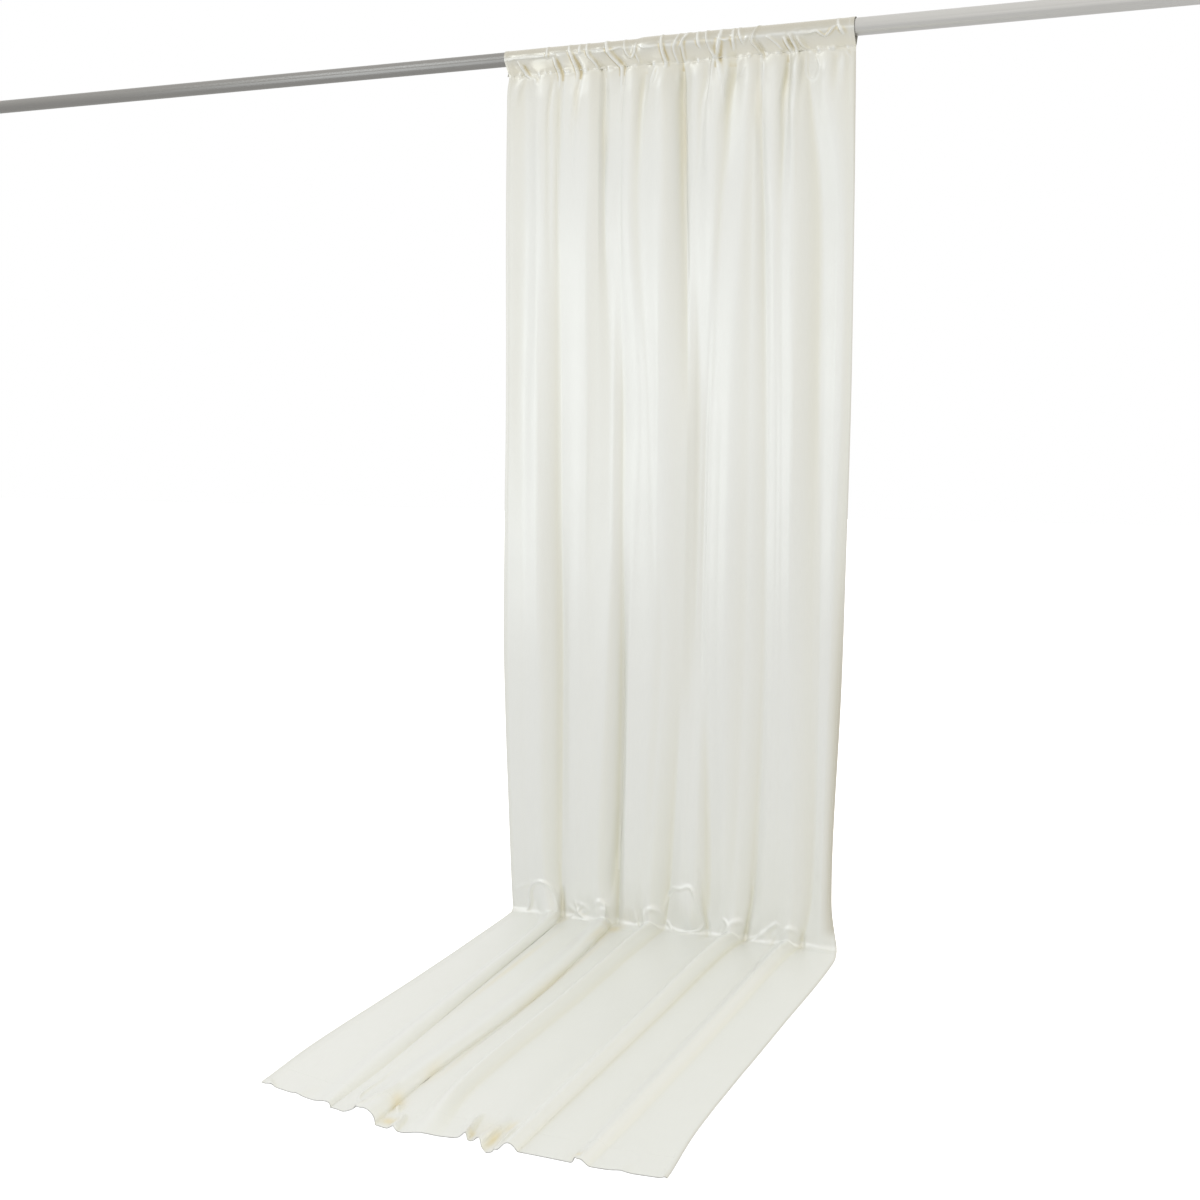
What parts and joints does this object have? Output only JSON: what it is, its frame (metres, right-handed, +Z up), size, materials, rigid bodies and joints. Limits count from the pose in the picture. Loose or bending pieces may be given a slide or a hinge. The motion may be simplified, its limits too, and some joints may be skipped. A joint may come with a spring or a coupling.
{
  "type": "backdrop curtain on a crossbar",
  "caption": "Gathered satin backdrop panel that hangs by its rod pocket from a metal crossbar and runs forward along the floor as a ridged train.",
  "frame": {"origin": "middle of the footprint, on the floor", "axes": "+X along the crossbar, +Y towards the back, so the train lies towards -Y, +Z up"},
  "size_m": [3, 1.1426, 1.9705],
  "materials": {
    "satin": "ivory satin with a soft sheen",
    "crossbar_metal": "brushed"
  },
  "bodies": {
    "root": {"curtain": "satin", "crossbar": "crossbar_metal"}
  },
  "joints": []
}
